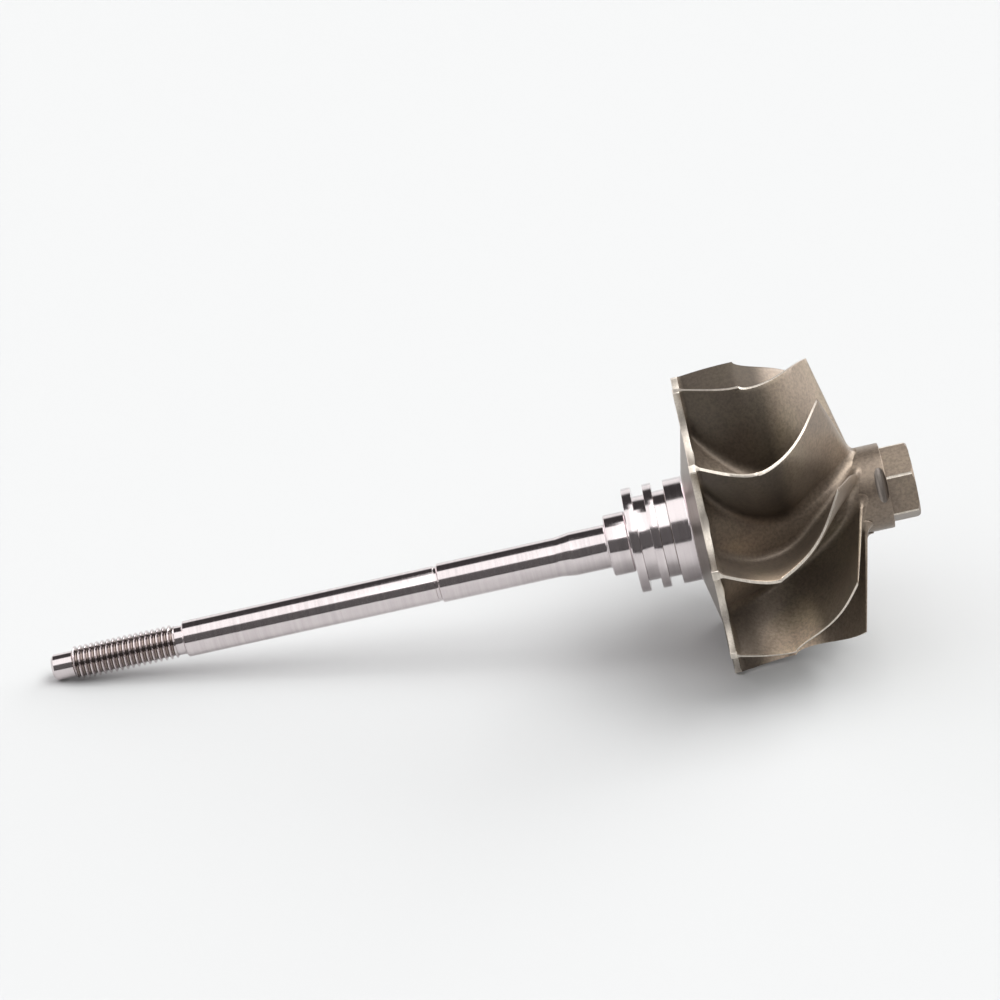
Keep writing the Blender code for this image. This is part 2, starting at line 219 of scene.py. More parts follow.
# Scallops in the back disc, and the balancing cut on the nose
SCALLOP_RADIUS = 8.3 * MM
SCALLOP_CENTRE = 26.4 * MM
FOOT_ROUND = 0.35 * MM
DISC_INNER_RING = 17.3 * MM
BALANCE_CUT_RADIUS = 1.1 * MM
BALANCE_CUT_STATION = 146.9 * MM
BALANCE_CUT_DEPTH = 0.65 * MM
BALANCE_CUT_TURN = math.radians(-120)

# How finely round shapes are divided
TURNED_STEPS = 192
SHAFT_STEPS = 96
THREAD_ROWS_PER_TURN = 14
CURVE_POINTS = 60
FINE_CURVE_POINTS = 200
CUTTER_STEPS = 40
DISC_ROWS = 10
BLADE_STATIONS = 72
BLADE_SPANS = 26
FILLET_ROWS = 7
SCALLOP_STEPS = 44
FOOT_STEPS = 4
HUB_ROWS = 48

# A corner opened wider than this is left as it is, and an arc takes at most this share of a side
STRAIGHT_CORNER = math.radians(172)
ARC_REACH = 0.45

# Steps either side of a point on a blade, out and along it, between which its normal is measured
NORMAL_STEP_OUT = 0.02
NORMAL_STEP_ALONG = 0.004

# A leaning blade is thicker when measured round the axis, by one over this at most
LEAST_FACE_ON = 0.4

# A blade's outlet edge is rounded: where its strips lie, and its bulge as a share of half its thickness
OUTLET_STRIPS = (0.2, 0.4, 0.6, 0.8)
OUTLET_BULGE = 0.8


def hollow_drop(share, exponent):
    """How much of its drop a hollow curve still has before it at this share of its length along the axis."""
    return max(0.0, 1 - share**exponent) ** (1 / exponent)


def hollow_curve(start, end, exponent, points):
    """(radius, station) points of a hollow curve that leaves start radially and reaches end axially."""
    found = []
    for i in range(points + 1):
        share = (i / points) ** 2
        radius = end[0] + (start[0] - end[0]) * hollow_drop(share, exponent)
        found.append((radius, start[1] + (end[1] - start[1]) * share))
    return found


def hub_curve(points):
    return hollow_curve((DISC_FLAT_RADIUS, DISC_FRONT), (HUB_FRONT_RADIUS, HUB_FRONT), HUB_HOLLOW, points)


def contour_curve(points):
    start = (WHEEL_RADIUS, INLET_CORNER)
    return hollow_curve(start, (OUTLET_RADIUS, OUTLET_CORNER), CONTOUR_HOLLOW, points)


def path_lengths(path):
    return [math.dist(a, b) for a, b in zip(path, path[1:])]


def along(path, share):
    """The point at this share of the length of a path of (radius, station) points."""
    lengths = path_lengths(path)
    left = share * sum(lengths)
    for a, b, length in zip(path, path[1:], lengths):
        if left <= length:
            return tuple(p + (q - p) * left / length for p, q in zip(a, b))
        left -= length
    return path[-1]


def spline(table):
    """A natural cubic spline through (x, value) pairs, as a function of x."""
    xs, ys = zip(*table)
    last = len(xs) - 1
    gaps = [b - a for a, b in zip(xs, xs[1:])]
    slopes = [(b - a) / gap for a, b, gap in zip(ys, ys[1:], gaps)]
    ratios, rests = [0.0], [0.0]
    for i in range(1, last):
        pivot = 2 * (gaps[i - 1] + gaps[i]) - gaps[i - 1] * ratios[-1]
        rests.append((6 * (slopes[i] - slopes[i - 1]) - gaps[i - 1] * rests[-1]) / pivot)
        ratios.append(gaps[i] / pivot)
    bends = [0.0] * (last + 1)
    for i in range(last - 1, 0, -1):
        bends[i] = rests[i] - ratios[i] * bends[i + 1]

    def value(x):
        i = next((k for k in range(last) if x <= xs[k + 1]), last - 1)
        width, before, after = gaps[i], xs[i + 1] - x, x - xs[i]
        bow_before = bends[i] * before * (before**2 / width - width)
        bow_after = bends[i + 1] * after * (after**2 / width - width)
        return (bow_before + bow_after) / 6 + (ys[i] * before + ys[i + 1] * after) / width

    return value


def around(radius, angle, station):
    return Vector((radius * math.cos(angle), radius * math.sin(angle), station))


def eased(value, start, end):
    """0 before start, 1 after end, and smooth between them."""
    t = min(max((value - start) / (end - start), 0), 1)
    return t * t * (3 - 2 * t)


def make_piece(name, shape, materials, node, sharp=35):
    """Turns a bmesh drawn along the axis into a finished piece that stands for a node of the model."""
    bmesh.ops.remove_doubles(shape, verts=shape.verts, dist=0.000002)
    bmesh.ops.recalc_face_normals(shape, faces=shape.faces)
    shape.transform(AXIS_PLACE)
    mesh = bpy.data.meshes.new(name)
    shape.to_mesh(mesh)
    shape.free()
    mesh.shade_smooth()
    mesh.set_sharp_from_angle(angle=math.radians(sharp))
    for material in materials:
        mesh.materials.append(material)
    piece = bpy.data.objects.new(name, mesh)
    bpy.context.scene.collection.objects.link(piece)
    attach(piece, "root")
    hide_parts(node)
    return piece


def grid(shape, rows, material=0, closed=False):
    """Quads between rows of vertices. Closed joins the last vertex of each row to its first."""
    for a, b in zip(rows, rows[1:]):
        count = len(a)
        for k in range(count if closed else count - 1):
            corners = (a[k], a[(k + 1) % count], b[(k + 1) % count], b[k])
            if len(set(corners)) == 4:
                face = shape.faces.new(corners)
                face.material_index = material


def ring(shape, radius, station, steps):
    return [shape.verts.new(around(radius, 2 * math.pi * k / steps, station)) for k in range(steps)]


def rounded(profile, sizes, points=4):
    """Replaces each corner of a (radius, station) profile by an arc. Sizes gives each corner's radius."""
    found = [profile[0]]
    for i in range(1, len(profile) - 1):
        corner = Vector(profile[i])
        size = sizes.get(i, sizes["default"])
        to_last, to_next = Vector(profile[i - 1]) - corner, Vector(profile[i + 1]) - corner
        if to_last.length < 1e-9 or to_next.length < 1e-9:
            found.append(tuple(corner))
            continue
        turn = to_last.angle(to_next)
        if turn > STRAIGHT_CORNER or size == 0:
            found.append(tuple(corner))
            continue
        reach = min(size / math.tan(turn / 2), to_last.length * ARC_REACH, to_next.length * ARC_REACH)
        start = corner + to_last.normalized() * reach
        end = corner + to_next.normalized() * reach
        for k in range(points + 1):
            t = k / points
            found.append(tuple(start * (1 - t) ** 2 + corner * 2 * t * (1 - t) + end * t**2))
    found.append(profile[-1])
    return found


def turned(shape, profile, steps, material=0):
    """A turned surface from a profile of (radius, station) points. Points on the axis close it."""
    rows = []
    for radius, station in profile:
        if radius < 1e-7:
            apex = shape.verts.new((0, 0, station))
            rows.append([apex])
        else:
            rows.append(ring(shape, radius, station, steps))
    for a, b in zip(rows, rows[1:]):
        for k in range(steps):
            n = (k + 1) % steps
            if len(a) == 1:
                corners = (a[0], b[n], b[k])
            elif len(b) == 1:
                corners = (a[k], a[n], b[0])
            else:
                corners = (a[k], a[n], b[n], b[k])
            face = shape.faces.new(corners)
            face.material_index = material


def thread_radius(phase):
    """Radius of the 60 degree thread form at this share of a turn, with flat crests and round roots."""
    x = abs(phase % 1 - 0.5) * 2
    t = min(max((x - THREAD_ROOT) / (THREAD_CREST - THREAD_ROOT), 0), 1)
    rounded_root = t if t > 0.25 else 0.125 + 2 * t**2
    return THREAD_RADIUS - THREAD_DEPTH * (1 - max(rounded_root, t))


def thread(shape):
    """The right-hand thread. Its rows follow the helix, and both ends run out under a chamfer."""
    turns = round((THREAD_END - THREAD_START) / THREAD_PITCH) + 2
    chamfer = math.tan(THREAD_CHAMFER)
    rows = []
    for j in range(turns * THREAD_ROWS_PER_TURN + 1):
        row = []
        for i in range(SHAFT_STEPS + 1):
            phase = j / THREAD_ROWS_PER_TURN - i / SHAFT_STEPS
            station = THREAD_START - THREAD_PITCH * 0.5 + THREAD_PITCH * phase
            station = min(max(station, THREAD_START), THREAD_END)
            form = thread_radius((station - THREAD_START) / THREAD_PITCH + i / SHAFT_STEPS)
            start_cut = TIP_RADIUS + (station - THREAD_START) * chamfer * THREAD_START_STEEPNESS
            end_cut = NECK_RADIUS + (THREAD_END - station) * chamfer
            radius = min(form, start_cut, end_cut)
            if station == THREAD_END:
                radius = NECK_RADIUS
            row.append(shape.verts.new(around(radius, 2 * math.pi * i / SHAFT_STEPS, station)))
        rows.append(row)
    grid(shape, rows, material=1)


def shaft_profile():
    """(radius, station) down the shaft from the weld to the thread's end, and from the thread to the tip."""
    edge = 0.2 * MM
    back = [
        (0, WELD_PLANE - WELD_GAP),
        (SECOND_GROOVE_RADIUS, WELD_PLANE - WELD_GAP),
        (SECOND_GROOVE_RADIUS, SECOND_FLANGE_END),
        (FLANGE_RADIUS, SECOND_FLANGE_END),
        (FLANGE_RADIUS, SECOND_FLANGE_START),
        (FIRST_GROOVE_RADIUS, SECOND_FLANGE_START),
        (FIRST_GROOVE_RADIUS, FIRST_FLANGE_END),
        (FLANGE_RADIUS, FIRST_FLANGE_END),
        (FLANGE_RADIUS, FIRST_FLANGE_START),
        (COLLAR_RADIUS - edge, FIRST_FLANGE_START),
        (COLLAR_RADIUS - edge, COLLAR_END),
        (COLLAR_RADIUS, COLLAR_END - edge),
        (COLLAR_RADIUS, COLLAR_START + edge),
        (COLLAR_RADIUS - edge, COLLAR_START),
        (SHOULDER_RADIUS, COLLAR_START),
        (SHOULDER_RADIUS, SHOULDER_START),
        (JOURNAL_RADIUS, JOURNAL_END),
        (JOURNAL_RADIUS, JOURNAL_START + edge),
        (STEP_RADIUS, JOURNAL_START),
        (STEP_RADIUS, SEAT_END),
        (SEAT_RADIUS, SEAT_END - edge / 2),
        (SEAT_RADIUS, SEAT_START + edge),
        (SEAT_RADIUS - edge, SEAT_START),
        (NECK_RADIUS, SEAT_START),
        (NECK_RADIUS, THREAD_END),
    ]
    sizes = {"default": 0.06 * MM, 14: 0.4 * MM, 15: 3 * MM, 16: 3 * MM, 23: 0.2 * MM}
    front = [
        (TIP_RADIUS, THREAD_START),
        (TIP_RADIUS, TIP_CHAMFER),
        (TIP_RADIUS - TIP_CHAMFER, 0),
        (0, 0),
    ]
    return rounded(back, sizes), rounded(front, {"default": 0.06 * MM})


def make_shaft(steel, threaded):
    shape = bmesh.new()
    back, front = shaft_profile()
    turned(shape, back, SHAFT_STEPS)
    thread(shape)
    turned(shape, front, SHAFT_STEPS)
    return make_piece("shaft_turned", shape, [steel, threaded], "shaft")


hub_turn = spline(HUB_TURN)
shroud_turn = spline(SHROUD_TURN)


def blade_turn(radius, station):
    """Turn of a blade's middle surface. At each station it changes evenly from the hub to the shroud line."""
    hub_share = min(max((station - DISC_FRONT) / (HUB_FRONT - DISC_FRONT), 0), 1)
    shroud_share = min(max((station - INLET_CORNER) / (OUTLET_CORNER - INLET_CORNER), 0), 1)
    low = HUB_FRONT_RADIUS + (DISC_FLAT_RADIUS - HUB_FRONT_RADIUS) * hollow_drop(hub_share, HUB_HOLLOW)
    high = OUTLET_RADIUS + (WHEEL_RADIUS - OUTLET_RADIUS) * hollow_drop(shroud_share, CONTOUR_HOLLOW)
    part = (radius - low) / (high - low)
    return math.radians(hub_turn(station) + (shroud_turn(station) - hub_turn(station)) * part)


def blade_point(section, part):
    """(radius, angle, station) on a blade's middle surface at this part of the way out from the hub."""
    foot, top = section
    radius = foot[0] + (top[0] - foot[0]) * part
    station = foot[1] + (top[1] - foot[1]) * part
    return radius, blade_turn(radius, station), station


def blade_spans(length, fillet):
    """Distances out from the hub surface, buried foot first, close together in the fillet."""
    spans = [-BLADE_BURY]
    spans += [fillet * (1 - math.cos(math.pi / 2 * k / FILLET_ROWS)) for k in range(FILLET_ROWS)]
    open_rows = BLADE_SPANS - FILLET_ROWS
    last = length - EDGE_BREAK
    return spans + [fillet + (last - fillet) * k / open_rows for k in range(open_rows + 1)] + [length]


def foot_half_angle(radius):
    """Half the angle that the disc's foot spans under a blade, less its rounded corners near the rim."""
    reach = (radius**2 + SCALLOP_CENTRE**2 - SCALLOP_RADIUS**2) / (2 * radius * SCALLOP_CENTRE)
    past_corner = max((radius - WHEEL_RADIUS) / FOOT_ROUND + 1, 0)
    return math.pi / BLADES - math.acos(min(reach, 1)) - FOOT_ROUND / radius * past_corner**2


def blade_rows():
    """A blade as rows of (radius, angle, half angle, station), one row for each station along it."""
    hub = [(WHEEL_RADIUS, DISC_FRONT)] + hub_curve(CURVE_POINTS)
    contour = contour_curve(CURVE_POINTS)
    shares = [0, EDGE_BREAK / (20 * MM)] + [i / BLADE_STATIONS for i in range(1, BLADE_STATIONS + 1)]
    rows = []
    for share in shares:
        section = along(hub, share), along(contour, share)
        length = math.dist(section[0], section[1])
        early = min(share / FULL_ROOT_SHARE, 1)
        fillet = RIM_FILLET + (ROOT_FILLET - RIM_FILLET) * early**1.5
        tip_half = SHROUD_HALF_THICKNESS + (OUTLET_HALF_THICKNESS - SHROUD_HALF_THICKNESS) * share
        root_half = tip_half + (ROOT_HALF_THICKNESS - tip_half) * early
        nearby = max(share - NORMAL_STEP_ALONG, 0), min(share + NORMAL_STEP_ALONG, 1)
        near = [(along(hub, s), along(contour, s)) for s in nearby]
        row = []
        for span in blade_spans(length, fillet):
            part = span / length
            radius, angle, station = blade_point(section, part)
            inner, outer = (blade_point(section, part + step) for step in (-NORMAL_STEP_OUT, NORMAL_STEP_OUT))
            across = around(*outer) - around(*inner)
            onward = around(*blade_point(near[1], part)) - around(*blade_point(near[0], part))
            normal = across.cross(onward).normalized()
            face_on = max(abs(normal.dot(Vector((-math.sin(angle), math.cos(angle), 0)))), LEAST_FACE_ON)
            half = root_half + (tip_half - root_half) * min(max(part, 0), 1)
            if span < fillet:
                rest = fillet - max(span, 0)
                half += fillet - math.sqrt(max(fillet**2 - rest**2, 0))
            if span == length or share == 0:
                half -= EDGE_BREAK
            half_angle = half / face_on / radius
            if span < fillet and section[0][0] > DISC_FLAT_RADIUS:
                spare = foot_half_angle(radius) - abs(angle)
                half_angle = min(half_angle, max(spare, tip_half / radius))
            row.append((radius, angle, half_angle, station))
        rows.append(row)
    return rows


# Painted shade: the hub is darker at the back, deep in the passages, and brightens towards the nose
def hub_painted_shade(station):
    return HUB_PAINTED_SHADE + (1 - HUB_PAINTED_SHADE) * eased(station, *HUB_CHANGE)


def blade_painted_shade_and_light(way, part, station):
    """Painted shade and light in the cast skin's colour: dark on the hollow face's inlet half and deep down
    the other face, bright on that face's outer part, with the hub's painted shade at the root.
    """
    onward = eased(station, *FACE_CHANGE)
    if way > 0:
        face = INLET_FACE + (1 - INLET_FACE) * onward
    else:
        outer = OUTER_FACE + (1 - OUTER_FACE) * onward
        face = DEEP_FACE + (outer - DEEP_FACE) * eased(part, *DEEP_FACE_PARTS)
    root = hub_painted_shade(station)
    return root + (face - root) * eased(part, *ROOT_PARTS)


def make_blade(shape, rows, turn, painted_light_and_tone):
    sides = []
    for way in (-1, 1):
        side = [[shape.verts.new(around(r, turn + a + way * h, z)) for r, a, h, z in row] for row in rows]
        for line in side:
            for k, vertex in enumerate(line):
                # Painted shade and light, carried by each vertex into the cast finish's colour
                vertex[painted_light_and_tone] = blade_painted_shade_and_light(way, k / (len(line) - 1), vertex.co.z)
        grid(shape, side)
        sides.append(side)
    grid(shape, [[low[0], high[0]] for low, high in zip(*sides)])
    grid(shape, [[low[-1], high[-1]] for low, high in zip(*sides)], material=1)
    grid(shape, [sides[0][0], sides[1][0]], material=1)
    strip = [sides[0][-1]]
    for share in OUTLET_STRIPS:
        line = []
        for (r0, a0, _h0, z0), (r, a, h, z) in zip(rows[-2], rows[-1]):
            out = (around(r, turn + a, z) - around(r0, turn + a0, z0)).normalized()
            bulge = h * r * math.sin(math.pi * share) * OUTLET_BULGE
            line.append(shape.verts.new(around(r, turn + a + h * (2 * share - 1), z) + out * bulge))
            line[-1][painted_light_and_tone] = 1.0
        strip.append(line)
    strip.append(sides[1][-1])
    grid(shape, strip)
    for end in (0, -1):
        shape.faces.new([line[end] for line in strip])


def front_station(radius, curve):
    """Station of the hub's front surface at this radius."""
    if radius >= DISC_FLAT_RADIUS:
        return DISC_FRONT
    for (r0, z0), (r1, z1) in zip(curve, curve[1:]):
        if r1 <= radius <= r0:
            return z0 + (z1 - z0) * (r0 - radius) / (r0 - r1)
    return HUB_FRONT


def back_station(radius):
    if radius >= BACK_CONE_RADIUS:
        return DISC_BACK
    share = (radius - FLANGE_RADIUS) / (BACK_CONE_RADIUS - FLANGE_RADIUS)
    return HUB_COLLAR_END + (DISC_BACK - HUB_COLLAR_END) * share


def disc_outline(inset):
    """Points round the scalloped disc, moved in by the inset, with rounded corners at the blades' feet."""
    cut, rim = SCALLOP_RADIUS + inset, WHEEL_RADIUS - inset
    meet = math.acos((SCALLOP_CENTRE**2 + cut**2 - rim**2) / (2 * SCALLOP_CENTRE * cut))
    pitch = 2 * math.pi / BLADES

    def scallop(middle, t):
        x, y = SCALLOP_CENTRE - cut * math.cos(t), cut * math.sin(t)
        return around(math.hypot(x, y), middle + math.atan2(y, x), 0)

    def corner(start, peak, end):
        shares = [k / 6 for k in range(1, 6)]
        return [start * (1 - t) ** 2 + peak * 2 * t * (1 - t) + end * t**2 for t in shares]

    points = []
    for i in range(BLADES):
        middle = FIRST_BLADE + pitch * (i + 0.5)
        reach = meet - FOOT_ROUND / cut
        wall = [scallop(middle, reach * (2 * k / SCALLOP_STEPS - 1)) for k in range(SCALLOP_STEPS + 1)]
        peak = scallop(middle, meet)
        edge_angle = math.atan2(peak.y, peak.x) - middle + FOOT_ROUND / rim
        edge_angle = (edge_angle + math.pi) % (2 * math.pi) - math.pi
        width = pitch - 2 * edge_angle
        foot = [around(rim, middle + edge_angle + width * k / FOOT_STEPS, 0) for k in range(FOOT_STEPS + 1)]
        following = middle + pitch
        points += wall + corner(wall[-1], peak, foot[0]) + foot
        points += corner(foot[-1], scallop(following, -meet), scallop(following, -reach))
    return points


def make_disc(shape, painted_light_and_tone):
    """The scalloped back disc and the hub, from the nose to the weld."""
    curve = hub_curve(FINE_CURVE_POINTS)
    outline, inset = disc_outline(0), disc_outline(DISC_EDGE)
    count = len(outline)
    start = math.atan2(outline[0].y, outline[0].x)
    spokes = [start + 2 * math.pi * k / count for k in range(count)]

    def front_of(radius):
        return front_station(radius, curve)

    def spoke_ring(radius, station):
        return [shape.verts.new(around(radius, a, station)) for a in spokes]

    def between(radius, share, station_of):
        line = []
        for a, target in zip(spokes, inset):
            point = around(radius, a, 0).lerp(target, share)
            point.z = station_of(point.length)
            line.append(shape.verts.new(point))
        return line

    def flat_ring(points, station_of):
        return [shape.verts.new((p.x, p.y, station_of(p.length))) for p in points]

    front = [spoke_ring(r, z) for r, z in reversed(hub_curve(HUB_ROWS)) if r < DISC_INNER_RING]
    front += [between(DISC_INNER_RING, k / DISC_ROWS, front_of) for k in range(DISC_ROWS)]
    grid(shape, front, closed=True)
    front_edge = flat_ring(inset, front_of)
    grid(shape, [front[-1], front_edge], closed=True)

    def edge_ring(k, station_of):
        t = math.pi / 2 * k / 4
        mixed = [p.lerp(q, math.sin(t)) for p, q in zip(inset, outline)]
        drop = DISC_EDGE * (1 - math.cos(t))
        return flat_ring(mixed, lambda r: station_of(r, drop))

    wall = [front_edge]
    wall += [edge_ring(k, lambda r, drop: front_of(r) - drop) for k in (1, 2, 3)]
    wall.append(flat_ring(outline, lambda r: front_of(r) - DISC_EDGE))
    wall.append(flat_ring(outline, lambda r: back_station(r) + DISC_EDGE))
    wall += [edge_ring(k, lambda r, drop: back_station(r) + drop) for k in (3, 2, 1)]
    wall.append(flat_ring(inset, back_station))
    grid(shape, wall, material=1, closed=True)
    back = [wall[-1]]
    back += [between(DISC_INNER_RING, 1 - k / DISC_ROWS, back_station) for k in range(1, DISC_ROWS + 1)]
    grid(shape, back, material=2, closed=True)
    collar = [
        (DISC_INNER_RING, back_station(DISC_INNER_RING)),
        (FLANGE_RADIUS, HUB_COLLAR_END),
        (FLANGE_RADIUS, WELD_PLANE),
        (0, WELD_PLANE),
    ]
    collar = rounded(collar, {"default": 0.08 * MM, 1: 0.5 * MM})
    rows = [back[-1]] + [spoke_ring(r, z) for r, z in collar[1:-1]]
    grid(shape, rows[:2], material=2, closed=True)
    grid(shape, rows[1:], material=3, closed=True)
    shape.faces.new(rows[-1])
    shape.faces.new(front[0])
    # Painted shade on the hub and disc, darker towards the back
    for vertex in shape.verts:
        vertex[painted_light_and_tone] = hub_painted_shade(vertex.co.z)


def make_casting(cast, ground, machined, steel):
    shape = bmesh.new()
    # Per-vertex factor for the casting's painted shade and light
    painted_light_and_tone = shape.verts.layers.float.new("painted_light_and_tone")
    make_disc(shape, painted_light_and_tone)
    rows = blade_rows()
    for number in range(BLADES):
        make_blade(shape, rows, FIRST_BLADE + 2 * math.pi * number / BLADES, painted_light_and_tone)
    materials = [cast, ground, machined, steel]
    return make_piece("turbine_wheel_casting", shape, materials, "turbine_wheel", sharp=38)


def solid_object(name, shape):
    bmesh.ops.recalc_face_normals(shape, faces=shape.faces)
    mesh = bpy.data.meshes.new(name)
    shape.to_mesh(mesh)
    shape.free()
    made = bpy.data.objects.new(name, mesh)
    bpy.context.scene.collection.objects.link(made)
    return made


def cut_together(base, steps):
    """Applies Boolean steps of (operation, object) to the base and returns the result as a bmesh."""
    for operation, other in steps:
        step = base.modifiers.new(other.name, "BOOLEAN")
        step.operation = operation
        step.solver = "EXACT"
        step.object = other
    graph = bpy.context.evaluated_depsgraph_get()
    ready = base.evaluated_get(graph)
    shape = bmesh.new()
    shape.from_mesh(ready.to_mesh())
    ready.to_mesh_clear()
    for used in [base] + [other for _operation, other in steps]:
        bpy.data.objects.remove(used, do_unlink=True)
    return shape


def make_nose(cast, machined, ground):
    """The boss and the hexagon, with its turned end, its corners in the bright ground finish as a painted
    highlight, and the cut left by balancing.
    """
    boss = bmesh.new()
    profile = [(0, NOSE_END), (NOSE_RADIUS, NOSE_END), (NOSE_RADIUS, NOSE_START), (0, NOSE_START)]
    turned(boss, rounded(profile, {"default": 0.22 * MM}), TURNED_STEPS)
    corner = HEX_ACROSS_FLATS / math.sqrt(3)
    hexagon = bmesh.new()
    bottom = NOSE_END - HEX_SINK
    place = Matrix.Translation((0, 0, (bottom + HEX_END) / 2)) @ Matrix.Rotation(HEX_TURN, 4, "Z")
    bmesh.ops.create_cone(
        hexagon,
        cap_ends=True,
        segments=6,
        radius1=corner,
        radius2=corner,
        depth=HEX_END - bottom,
        matrix=place,
    )
    upright = [e for e in hexagon.edges if abs(e.verts[0].co.z - e.verts[1].co.z) > MM]
    bmesh.ops.bevel(hexagon, geom=upright, offset=HEX_CORNER_ROUND, segments=3, affect="EDGES")
    envelope = bmesh.new()
    limits = [
        (0, HEX_END),
        (corner - HEX_CHAMFER, HEX_END),
        (corner + 0.2 * MM, HEX_END - HEX_CHAMFER),
        (corner + 0.2 * MM, bottom - MM),
        (0, bottom - MM),
    ]
    turned(envelope, limits, TURNED_STEPS)
    cutter = bmesh.new()
    height = NOSE_RADIUS - BALANCE_CUT_DEPTH + BALANCE_CUT_RADIUS
    place = Matrix.Translation(around(height, BALANCE_CUT_TURN, BALANCE_CUT_STATION))
    place = place @ Matrix.Rotation(BALANCE_CUT_TURN, 4, "Z") @ Matrix.Rotation(math.pi / 2, 4, "X")
    bmesh.ops.create_cone(
        cutter,
        cap_ends=True,
        segments=CUTTER_STEPS,
        radius1=BALANCE_CUT_RADIUS,
        radius2=BALANCE_CUT_RADIUS,
        depth=2 * NOSE_RADIUS,
        matrix=place,
    )
    hexagon_object = solid_object("hexagon", hexagon)
    shape = cut_together(hexagon_object, [("INTERSECT", solid_object("envelope", envelope))])
    steps = [
        ("UNION", solid_object("hexagon", shape)),
        ("DIFFERENCE", solid_object("balance_cut", cutter)),
    ]
    shape = cut_together(solid_object("boss", boss), steps)
    # The nose's own even tone, in the same factor that carries the casting's painted shade and light
    painted_light_and_tone = shape.verts.layers.float.new("painted_light_and_tone")
    for vertex in shape.verts:
        vertex[painted_light_and_tone] = NOSE_SKIN
    to_cut = place.inverted()
    for face in shape.faces:
        centre = to_cut @ face.calc_center_median()
        if abs(math.hypot(centre.x, centre.y) - BALANCE_CUT_RADIUS) < 0.02 * MM:
            face.material_index = 1
        # Painted highlight: the hexagon's corner faces take the bright ground finish
        centre = face.calc_center_median()
        upright_face = abs(face.normal.z) < 0.1
        if centre.z > NOSE_END and upright_face and math.hypot(centre.x, centre.y) > HEX_HIGHLIGHT_RADIUS:
            face.material_index = 2
    return make_piece("wheel_nose", shape, [cast, machined, ground], "turbine_wheel", sharp=25)


def window(start, end, soft):
    """Ramp stops that are 1 between start and end and fall to 0 over the soft width outside them."""
    return [
        (max(start - soft, 0), 0.0),
        (max(start, 0.001), 1.0),
        (min(end, 0.999), 1.0),
        (min(end + soft, 1), 0.0),
    ]


class Nodes:
    """A small helper that adds and joins shader nodes."""

    def __init__(self, tree):
        self.tree = tree

    def add(self, kind, inputs=None, **settings):
        node = self.tree.nodes.new(kind)
        for name, value in settings.items():
            setattr(node, name, value)
        for name, value in (inputs or {}).items():
            if isinstance(value, bpy.types.NodeSocket):
                self.tree.links.new(value, node.inputs[name])
            else:
                node.inputs[name].default_value = value
        return node

    def math(self, operation, a, b=0.0):
        return self.add("ShaderNodeMath", {0: a, 1: b}, operation=operation).outputs[0]

    def ramp(self, value, stops, interpolation="LINEAR"):
        node = self.add("ShaderNodeValToRGB", {"Fac": value})
        ramp = node.color_ramp
        ramp.interpolation = interpolation
        while len(ramp.elements) < len(stops):
            ramp.elements.new(0.5)
        for element, (position, colour) in zip(ramp.elements, stops):
            element.position = position
            element.color = (*colour, 1) if isinstance(colour, tuple) else (colour, colour, colour, 1)
        return node.outputs["Color"]

    def noise(self, vector, scale, detail=2.0, roughness=0.5):
        settings = {"Vector": vector, "Scale": scale, "Detail": detail, "Roughness": roughness}
        return self.add("ShaderNodeTexNoise", settings).outputs["Fac"]

    def mix(self, factor, a, b, blend="MIX"):
        node = self.add("ShaderNodeMix", data_type="RGBA", blend_type=blend)
        for socket, value in ((node.inputs[0], factor), (node.inputs[6], a), (node.inputs[7], b)):
            if isinstance(value, bpy.types.NodeSocket):
                self.tree.links.new(value, socket)
            elif isinstance(value, tuple):
                socket.default_value = (*value, 1)
            else:
                socket.default_value = value
        return node.outputs[2]

    def place(self):
        """Coordinates along and round the part's own axis."""
        coords = self.add("ShaderNodeTexCoord").outputs["Object"]
        inputs = {"Vector": coords, "Location": TIP_PLACE, "Rotation": (0, math.pi / 2 - TILT, 0)}
        return self.add("ShaderNodeMapping", inputs, vector_type="TEXTURE").outputs["Vector"]

    def bump(self, height, strength, distance, normal=None):
        inputs = {"Height": height, "Strength": strength, "Distance": distance}
        if normal is not None:
            inputs["Normal"] = normal
        return self.add("ShaderNodeBump", inputs).outputs["Normal"]


def new_metal(name, metallic):
    material = bpy.data.materials.new(name)
    material.use_nodes = True
    nodes = Nodes(material.node_tree)
    shader = material.node_tree.nodes["Principled BSDF"]
    shader.inputs["Metallic"].default_value = metallic
    return material, nodes, shader


def connect(nodes, shader, colour, roughness, normal):
    """Gives a shader its finish. A plain number is set on the socket itself."""
    for name, value in (("Base Color", colour), ("Roughness", roughness), ("Normal", normal)):
        if isinstance(value, bpy.types.NodeSocket):
            nodes.tree.links.new(value, shader.inputs[name])
        else:
            shader.inputs[name].default_value = value


def turning_lines(nodes, place, scale):
    """Fine rings round the axis, as a turning or grinding tool leaves them."""
    radius, station = radius_of(nodes, place)
    line = nodes.add("ShaderNodeCombineXYZ", {"X": station, "Y": radius, "Z": 0.0}).outputs["Vector"]
    return nodes.noise(line, scale, detail=3.0, roughness=0.7)


def radius_of(nodes, place):
    parts = nodes.add("ShaderNodeSeparateXYZ", {"Vector": place})
    x, y, z = (parts.outputs[k] for k in range(3))
    radius = nodes.math("SQRT", nodes.math("ADD", nodes.math("MULTIPLY", x, x), nodes.math("MULTIPLY", y, y)))
    return radius, z


